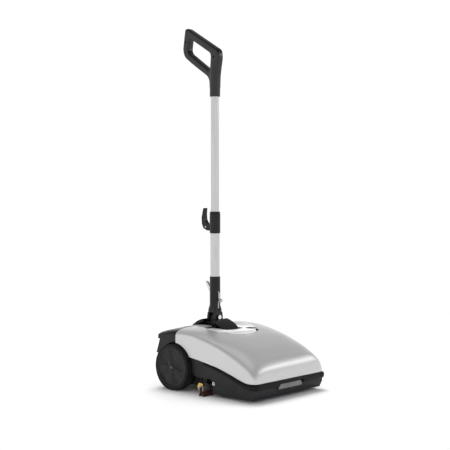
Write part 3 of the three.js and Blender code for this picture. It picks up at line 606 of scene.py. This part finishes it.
def behind_wall(gap):
    """Everything behind the leaning rear wall, from a gap past it."""
    (foot, z0), (head, z1) = WALL_FOOT, WALL_HEAD
    edge = [(foot + gap, 0), (foot + gap, z0), (head + gap, z1), (head + gap, PAST_TOP)]
    return prism("x", [*edge, (PAST_REAR, PAST_TOP), (PAST_REAR, 0)], -PAST_SIDE, PAST_SIDE)


def under_edge():
    """Everything under the hood's lower edge."""
    front, floor_z, lid = -400, -10, WALL_FOOT[1]
    edge = [(front, HOOD_LOW), *smooth_line(HOOD_EDGE, 4), (SEAM_Y, lid), (PAST_REAR, lid)]
    return prism("x", [(front, floor_z), *edge, (PAST_REAR, floor_z)], -PAST_SIDE, PAST_SIDE)


def handle_slot():
    """The slot behind the bezel that the handle's saddle stands in."""
    front = arc(0, 0, SLOT_FRONT_R, 247, 293, 24)
    outline = [*front, (NOTCH, 0), (NOTCH, PAST_REAR), (-NOTCH, PAST_REAR), (-NOTCH, 0)]
    return prism("z", outline, 0, PAST_TOP)


def beside_tongue(side):
    """The corner that the rear cover fills, beside the hood's rear tongue."""
    near, far = side * TONGUE, side * PAST_SIDE
    return prism("z", [(near, SEAM_Y), (far, SEAM_Y), (far, PAST_REAR), (near, PAST_REAR)], 0, PAST_TOP)


def wheel_arch(side):
    outline = arc(WHEEL_Y, WHEEL_Z, ARCH_R, *FULL_TURN)
    return prism("x", outline, *sorted((side * ARCH_IN, side * PAST_SIDE)))


def recess(radius):
    """A plug for the finger recess, standing through the hood's top."""
    return turned("z", RECESS_AT, [(150, 0), (150, radius), (250, radius), (250, 0)], 64)


def add_hood():
    shell = hood_shell()
    tools = [under_edge(), handle_slot(), behind_wall(0.4)]
    tools += [beside_tongue(side) for _, side in SIDES]
    tools += [wheel_arch(side) for _, side in SIDES]
    tools += [prism("z", bezel_outline(0.5, 3), BEZEL_SEAT, PAST_TOP), recess(20.3)]
    boolean(shell, "DIFFERENCE", *tools)
    # The seat under the bezel, where the sunk plate would otherwise show the inside.
    seat = scratch(prism("z", bezel_outline(3, 6), BEZEL_SEAT - SKIN, BEZEL_SEAT))
    boolean(seat, "INTERSECT", hood_solid(0.2))
    boolean(seat, "DIFFERENCE", handle_slot(), recess(20.3))
    boolean(shell, "UNION", bm_of(seat))
    piece("silver_hood", shell, "hood", "silver", ["hood"], 0, angle=32)


def add_spine():
    """The narrow strip of hood skin that stays on the chassis behind the handle's slot."""
    spine = hood_shell()
    half, front, rear = 36.6, 84, 130
    box = [(-half, front), (half, front), (half, rear), (-half, rear)]
    boolean(spine, "INTERSECT", prism("z", box, WALL_FOOT[1], 240))
    boolean(spine, "DIFFERENCE", behind_wall(0))
    piece("silver_spine", spine, "chassis", "silver", ["rear_spine"], 0.5, 2)


def add_bezel():
    # As (z, growth): the foot, a lower rim, a fine dark groove, the upper rim and the flat top.
    layers = [
        (160, 0.8), (178.6, 0.8), (179.4, 0.4), (179.7, -0.4), (179.9, -2.0), (180.9, -2.0), (181.1, -0.7),
        (181.6, 0.0), (182.8, 0.0), (183.6, -0.4), (BEZEL_TOP, -1.4),
    ]
    plate = scratch(capped([[(x, y, z) for x, y in bezel_outline(g, min(0.0, g))] for z, g in layers]))
    # The sloping wall where the dish is sunk into the hood.
    dish = ((183, -9), (184, -9), (185.5, -8), (193, -1))
    wall = scratch(prism("z", bezel_outline(-0.3, 0), 182, 192))
    boolean(wall, "DIFFERENCE", capped([[(x, y, z) for x, y in bezel_oval(g, *FULL_TURN)] for z, g in dish]))
    boolean(wall, "INTERSECT", hood_solid(0.3))
    boolean(plate, "UNION", bm_of(wall))
    # The plate keeps only what stands above the hood or inside its cut.
    deck = scratch(hood_solid(-0.3))
    boolean(deck, "DIFFERENCE", prism("z", bezel_outline(0.9, 4), BEZEL_SEAT + 0.3, PAST_TOP))
    boolean(plate, "DIFFERENCE", bm_of(deck), recess(21.4))
    piece("bright_bezel", plate, "hood", "bright_trim", ["hood_bezel"], 0, angle=30)


def add_cup():
    profile = [
        (170.4, 0), (170.4, 13), (171.2, 14.8), (176.5, 18.9), (178.5, 19.7), (200, 19.7), (200, 17.9),
        (178.5, 17.9), (176, 16.6), (173, 13.2), (172.3, 11), (172.3, 0),
    ]
    cup = scratch(turned("z", RECESS_AT, profile, 72))
    boolean(cup, "INTERSECT", hood_solid(0.7))
    # The well's black lining is painted shade: it stands in for the shade that falls inside the finger
    # recess.
    piece("finger_well_painted_shade", cup, "hood", "black_satin", ["finger_cup"], 0, angle=40)


# --- Bumper and window --------------------------------------------------------------------------------------

BUMPER_HALF, BUMPER_FRONT, BUMPER_REAR, BUMPER_CORNER = 158.4, -308.4, -108, 14
BUMPER_DEPTH, BUMPER_STEPS, BUMPER_LINE = 11.6, 14, 10
# The lower edge's height along the side, and how it lifts over the window in the front.
BUMPER_LOW = [(-330, 37), (-300, 37), (-275, 43), (-238, 55), (-187, 73), (-108, 92)]
LIFT_HALF, LIFT, LIFT_RUN = 58, 9.2, 7


def bumper_path():
    """Points round the front, from the right side's rear end to the left's: (x, y, outward x, outward y)."""
    right = [(-BUMPER_HALF, BUMPER_REAR - 5 * i, -1.0, 0.0) for i in range(37)]
    corner = []
    for i in range(BUMPER_STEPS + 1):
        turn = math.radians(180 + 90 * i / BUMPER_STEPS)
        nx, ny = math.cos(turn), math.sin(turn)
        x = -BUMPER_HALF + BUMPER_CORNER + BUMPER_CORNER * nx
        corner.append((x, BUMPER_FRONT + BUMPER_CORNER + BUMPER_CORNER * ny, nx, ny))
    stops = (-140, -120, -100, -80, -66, -59, -58, -51, -50, -40, -20, 0)
    front = [(x, BUMPER_FRONT, 0.0, -1.0) for x in stops]
    near = right + corner + front
    return near + [(-x, y, -nx, ny) for x, y, nx, ny in reversed(near[:-1])]


def bumper_low(x, y):
    if y < -300 and abs(x) < LIFT_HALF:
        return BUMPER_LOW[0][1] + LIFT * min(1.0, (LIFT_HALF - abs(x)) / LIFT_RUN)
    return height_at(BUMPER_LOW, y)


def add_bumper():
    """A bulging strip that thins towards its rear ends, with a fine moulded line along its lower third."""
    rings = []
    for x, y, nx, ny in bumper_path():
        low, high = bumper_low(x, y), height_at(HOOD_EDGE, y) - 0.7
        depth = BUMPER_DEPTH * min(1.0, 0.72 + 0.28 * (BUMPER_REAR - y) / 190)
        mid, half = (low + high) / 2, (high - low) / 2
        section = [(0, high)]
        for k in range(BUMPER_STEPS + 1):
            turn = math.radians(90 - 180 * k / BUMPER_STEPS)
            out = depth * abs(math.cos(turn)) ** 0.55
            out -= 0.9 if k == BUMPER_LINE else 0.0
            section.append((max(out, 0.5), mid + half * bulged(math.sin(turn))))
        section.append((0, low))
        rings.append([(x + nx * out, y + ny * out, z) for out, z in section])
    strip = scratch(capped(rings))
    piece("rubber_bumper", strip, "chassis", "black_rubber", ["bumper_strip"], 0, angle=48)


def add_window():
    outline = rounded([(-56, 29.5), (-50, 44.7), (50, 44.7), (56, 29.5)], 3.5, 6)
    plate = scratch(prism("y", outline, -312, -307.2))
    piece("smoked_window", plate, "chassis", "smoke_plastic", ["front_window"], 1.3, 3)


# --- Wheels -------------------------------------------------------------------------------------------------

TREAD_R, GROOVE_R, WHEEL_STEPS = 71.3, 70.3, 120
SPOKES, SPOKE_START, SPOKE_END, SPOKE_DISH = 5, 15, 54.5, 2.4
# Profiles along the axle, as (distance from the machine's middle, radius).
TYRE = [
    (139, 63), (139, 68), (140, 70.4), (142, TREAD_R), (149, TREAD_R), (150, GROOVE_R), (151.4, GROOVE_R),
    (152.4, TREAD_R), (161.6, TREAD_R), (162.6, GROOVE_R), (164, GROOVE_R), (165, TREAD_R), (171, TREAD_R),
    (173.4, 70.6), (174.7, 68.8), (175, 67), (174.8, 64.6), (174, 63.6), (173.4, 63),
]
HUB_FACE = [(171, r) for r in (16, 18, 21, 24, 27, 30, 33, 36, 39, 42, 45, 48, 50.5, 52, 53.5, 55)]
HUB = [
    (172.6, 6.4), (173, 7), (173, 9), (172.4, 10), (171.4, 10.6), (171, 13), *HUB_FACE, (171.4, 56),
    (173.2, 58), (174.2, 59.4), (174.3, 61), (173.8, 62.5), (142, 62.5), (142, 58.6), (165, 58.6), (166, 56),
    (166, 14), (164, 12), (141.4, 12), (141, 11), (141, 6.4),
]
AXLE_END = [(173, 5.9), (173.9, 4.6), (173.9, 0)]


def sided(profile, side):
    """A profile along x, given for the left side, placed on either side."""
    return [(side * place, radius) for place, radius in profile]


def spoke_dish(place, radius, turn):
    """How far the hub's outer face sinks between its spokes."""
    if abs(place) < 168 or not SPOKE_START < radius < SPOKE_END:
        return 0
    ripple = 0.5 + 0.5 * math.cos(SPOKES * turn + 0.6)
    fade = min(1.0, (radius - SPOKE_START) / 6, (SPOKE_END - radius) / 4)
    return -math.copysign(SPOKE_DISH, place) * (1 - min(1.0, (ripple * 1.5) ** 2)) * fade


def add_wheel(name, side):
    centre = (WHEEL_Y, WHEEL_Z)
    ring = scratch(turned("x", centre, sided(TYRE, side), WHEEL_STEPS))
    piece("tread_" + name, ring, "wheel_" + name, "tyre", ["tyre_" + name], 0, angle=42)
    disc = scratch(turned("x", centre, sided(HUB, side), WHEEL_STEPS, spoke_dish))
    node = "wheel_hub_" + name
    piece("hub_disc_" + name, disc, "wheel_" + name, "hub", [node], 0, angle=30)


def add_axle():
    profile = [*reversed(sided(AXLE_END, -1)), *AXLE_END]
    rod = scratch(turned("x", (WHEEL_Y, WHEEL_Z), profile, 48))
    piece("axle_rod", rod, "chassis", "dull_steel", ["wheel_axle"], 0, angle=25)


# --- Brush and squeegee -------------------------------------------------------------------------------------

BRUSH_Y, BRUSH_Z, BRUSH_HALF, CORE_R, BRISTLE_R = -235, 52, 131.5, 27, 52
TUFTS_AROUND, TUFT_ROWS, TUFT_SIDES = 30, 54, 6
KNOB_AT, KNOB_R, KNOB_LOBES = (-88, 22), 13, 6
KNOB_STEM = [
    (129, 0), (129, 4), (130, 5), (142.4, 5), (142.4, 8), (148, 8), (157.6, 8), (158.6, 7.4), (158.8, 4.4),
    (162.4, 4), (163, 3.2), (163, 0),
]
BOLT_AT = (-146.6, 39.5)
BOLT = [
    (158.6, 0), (158.6, 5.6), (158.8, 5.8), (160.2, 5.8), (160.4, 5.6), (160.4, 3), (163.4, 3), (164, 2.2),
    (164, 0),
]


def add_bristles():
    """Tufts in staggered rows round the core, each a flared bundle."""
    bm = bmesh.new()
    for r in range(TUFT_ROWS):
        x = -BRUSH_HALF + 2 * BRUSH_HALF * r / (TUFT_ROWS - 1)
        for k in range(TUFTS_AROUND):
            # Each row is half a step on from the last, with a slight wander.
            turn = 2 * math.pi * (k + 0.5 * (r % 2) + 0.12 * math.sin(r * 2.1)) / TUFTS_AROUND
            out = Vector((0, math.cos(turn), math.sin(turn)))
            side = Vector((0, -math.sin(turn), math.cos(turn)))
            at = Vector((x, BRUSH_Y, BRUSH_Z))
            tip = BRISTLE_R - 0.6 * (0.5 + 0.5 * math.sin(7.3 * r + 3.1 * k))
            rings = []
            for radius, spread in ((CORE_R + 0.4, 1.7), (40, 2.1), (tip, 2.5)):
                ring = []
                for i in range(TUFT_SIDES):
                    a = 2 * math.pi * i / TUFT_SIDES
                    off = Vector((1, 0, 0)) * spread * math.cos(a) + side * spread * math.sin(a)
                    ring.append(bm.verts.new(at + out * radius + off))
                rings.append(ring)
            for a, b in zip(rings, rings[1:]):
                for i in range(TUFT_SIDES):
                    j = (i + 1) % TUFT_SIDES
                    bm.faces.new((a[i], a[j], b[j], b[i]))
            bm.faces.new(rings[0][::-1])
            bm.faces.new(rings[-1])
    bmesh.ops.recalc_face_normals(bm, faces=bm.faces)
    tufts = scratch(bm)
    piece("nylon_tufts", tufts, "brush", "bristle_blue", ["brush_bristles"], 0, angle=50)


def add_knob(name, side):
    """A lobed thumb wheel on a turned stem."""
    (y, z), steps = KNOB_AT, 96
    lobes = []
    for i in range(steps):
        turn = 2 * math.pi * i / steps
        radius = KNOB_R + math.cos(KNOB_LOBES * turn)
        lobes.append((y + radius * math.cos(turn), z + radius * math.sin(turn)))
    knob = scratch(prism("x", lobes, *sorted((side * 147, side * 157))))
    edge = knob.modifiers.new("edge", "BEVEL")
    edge.width, edge.segments = 1.8, 3
    edge.limit_method, edge.angle_limit = "ANGLE", math.radians(40)
    applied(knob)
    boolean(knob, "UNION", turned("x", KNOB_AT, sided(KNOB_STEM, side), 48))
    node = "squeegee_knob_" + name
    piece("brass_knob_" + name, knob, "knob_" + name, "brass", [node], 0, angle=32)


def add_bolt(name, side):
    bolt = scratch(turned("x", BOLT_AT, sided(BOLT, side), 48))
    piece("washer_bolt_" + name, bolt, "chassis", "steel", ["stop_bolt_" + name], 0, angle=30)


# --- Handle -------------------------------------------------------------------------------------------------

TUBE_CHAMFER = 0.4
# The grip's outlines as (y, z, corner radius), its screws as (y, z), and its neck as (z, half width, lean).
GRIP_OUTER = [
    (-15.5, 932, 13), (15.5, 932, 13), (15.5, 972, 20), (50, 994, 20), (88, 1018, 20), (127, 1046, 14),
    (134, 1070, 10), (124, 1135, 11), (112, 1138, 11), (-24, 1058, 15), (-27, 1036, 14), (-16.5, 978, 20),
]
GRIP_OPENING = [(13, 996, 7), (109, 1061, 14), (103, 1104, 10), (9, 1048, 12)]
GRIP_SCREWS = [(-5, 1036), (46, 1085), (118, 1094)]
GRIP_HALF, GRIP_GAP, GRIP_BORE, GRIP_ROUNDING, GRIP_GROOVE = 13, 0.15, 13.9, 6.5, 0.5
GRIP_NECK = [
    (912, 14.9, 0), (912.6, 15.4, 0), (914, 15.6, 0), (930, 15.6, -0.2), (958, 15.7, -0.6), (972, 15.7, -0.8),
    (990, 15.2, -1.8), (1010, 14.2, -3.6), (1030, 12.4, -6),
]
SCREW_HEAD = [
    (-12.3, 0), (-11.0, 0.9), (-11.0, 1.2), (-12.5, 1.6), (-12.6, 2.2), (-12.0, 2.9), (-9.6, 3), (-9.6, 0),
]
SCREW_STEPS = 32


def tube_piece(name, node, body, inner, outer, low, high):
    """A tube with its outer ends chamfered."""
    lower = [(low, inner), (low, outer - TUBE_CHAMFER), (low + TUBE_CHAMFER, outer)]
    upper = [(high - TUBE_CHAMFER, outer), (high, outer - TUBE_CHAMFER), (high, inner)]
    wall = scratch(turned("z", (0, 0), lower + upper, 96))
    piece(name, wall, body, "aluminium", [node], 0, angle=25)


def outline_edges(bm, x):
    """The edges of a prism along x where its flat face at that x meets its walls."""
    flat = [e for e in bm.edges if all(abs(v.co.x - x) < 1e-4 for v in e.verts)]
    return [e for e in flat if e.calc_face_angle(0) > 1]


def grip_neck(near, side):
    """One half of the round neck that the loop runs down into."""
    turns = [2 * math.pi * i / 64 for i in range(64)]
    rings = []
    for z, half, lean in GRIP_NECK:
        rings.append([(half * bulged(math.cos(t)), half * bulged(math.sin(t)) + lean, z) for t in turns])
    neck = scratch(capped(rings))
    kept = [(near, -100), (side * 60, -100), (side * 60, 200), (near, 200)]
    return boolean(neck, "INTERSECT", prism("z", kept, 900, 1150))


def screw_well(at):
    floor_x, mouth_x, radius = 4 - GRIP_HALF, -30, 3.4
    return turned("x", at, [(floor_x, 0), (floor_x, radius), (mouth_x, radius), (mouth_x, 0)], SCREW_STEPS)


def add_grip(name, side):
    """One of the loop's two shells, rounded outside and with a fine groove where it meets the other."""
    near, far = side * GRIP_GAP, side * GRIP_HALF
    bm = prism("x", rounded(GRIP_OUTER, 8), *sorted((near, far)), [rounded(GRIP_OPENING, 8)])
    bevel = {"offset_type": "OFFSET", "affect": "EDGES", "clamp_overlap": False}
    bmesh.ops.bevel(bm, geom=outline_edges(bm, far), offset=GRIP_ROUNDING, segments=6, profile=0.5, **bevel)
    bmesh.ops.bevel(bm, geom=outline_edges(bm, near), offset=GRIP_GROOVE, segments=1, **bevel)
    shell = scratch(bm)
    boolean(shell, "UNION", bm_of(grip_neck(near, side)))
    boolean(shell, "DIFFERENCE", prism("z", arc(0, 0, GRIP_BORE, 0, 356.25, 95), 900, 961))
    if side < 0:
        boolean(shell, "DIFFERENCE", *[screw_well(at) for at in GRIP_SCREWS])
    node = "grip_" + name
    piece("grip_shell_" + name, shell, "handle", "grip_plastic", [node], 0, angle=35)


def add_grip_screws():
    for i, at in enumerate(GRIP_SCREWS, 1):
        screw = scratch(turned("x", at, SCREW_HEAD, SCREW_STEPS))
        piece(f"screw_head_{i}", screw, "handle", "black_rubber", [f"grip_screw_{i}"], 0)


# --- The machine --------------------------------------------------------------------------------------------


def add_floor():
    """A round sheet of white paper under the machine."""
    mesh = bpy.data.meshes.new("floor")
    rim = arc(0, 0, FLOOR_R, *FULL_TURN)
    mesh.from_pydata([(x, y, 0) for x, y in rim], [], [range(len(rim))])
    floor = bpy.data.objects.new("floor", mesh)
    bpy.context.scene.collection.objects.link(floor)
    paper = Look("studio_floor", roughness=0.9)
    paper.colours(paper.noise(3), grey(0.90), grey(0.92)).relief(paper.noise(60), 0.02, 0.1)
    mesh.materials.append(paper.material)


add_camera()
add_world()
add_floor()
for light in LIGHTS:
    add_area(*light)
bpy.context.scene.view_settings.view_transform = "Standard"

add_hood()
add_spine()
add_bezel()
add_cup()
add_bumper()
add_window()
add_axle()
add_bristles()
for side_name, side in SIDES:
    add_wheel(side_name, side)
    add_knob(side_name, side)
    add_bolt(side_name, side)
    add_grip(side_name, side)
add_grip_screws()
tube_piece("lower_pole", "lower_tube", "socket", 13.8, 15, 241, 541.4)
tube_piece("upper_pole", "upper_tube", "handle", 12, 13.5, 402, 960)

# Pieces in their CAD node's form: node, name, edge radius, segments and a look other than the node's slot.
REFINED = [
    ("base_shell", "base_body", 1.2, 3, "base_plastic"), ("rear_cover_right", "rear_cap_right", 1.6, 3, None),
    ("rear_cover_left", "rear_cap_left", 1.6, 3, None), ("rear_panel", "back_plate", 1.0, 3, None),
    ("saddle", "tilt_saddle", 0.9, 3, "black_satin"), ("handle_socket", "swivel_socket", 0.7, 3, None),
    ("socket_lever", "release_lever", 0.8, 3, None), ("lock_pin", "latch_pin", 0.3, 2, "steel"),
    ("pivot_bolt", "swivel_bolt", 0.5, 2, None), ("clamp_sleeve", "clamp_body", 0.6, 3, None),
    ("clamp_lever", "clamp_cam", 1.2, 3, None), ("clamp_pin", "cam_pin", 0.3, 2, None),
    ("squeegee_channel", "blade_channel", 0.3, 2, None), ("front_blade", "blade_front", 0.4, 2, None),
    ("rear_blade", "blade_rear", 0.4, 2, None), ("power_rocker", "switch_rocker", 1.2, 3, None),
    ("charging_inlet", "inlet_ring", 0.4, 2, None), ("battery_pack", "battery_case", 1.5, 3, None),
    ("solution_tank", "clean_tank", 1.5, 3, None), ("recovery_tank", "dirty_tank", 1.5, 3, None),
    ("filler_cap", "tank_cap", 0.8, 3, None), ("vacuum_motor", "vacuum_unit", 0.6, 2, None),
    ("suction_hose", "vacuum_hose", 0, 1, None), ("brush_motor", "drive_motor", 0.6, 2, None),
    ("motor_pulley", "small_pulley", 0.3, 2, None), ("brush_pulley", "large_pulley", 0.3, 2, None),
    ("drive_belt", "belt_loop", 0.3, 2, None), ("brush_core", "roller_core", 0.6, 2, None),
    ("tilt_axle", "tilt_rod", 0.5, 2, None),
]
for side_name, side in SIDES:
    REFINED += [
        ("brush_bearing_" + side_name, "bearing_ring_" + side_name, 0.2, 2, None),
        ("squeegee_arm_" + side_name, "blade_arm_" + side_name, 0.5, 2, None),
        ("tilt_bracket_" + side_name, "axle_bracket_" + side_name, 0.6, 2, None),
    ]
for node, name, bevel, segments, look in REFINED:
    refined(node, name, bevel, segments, look)
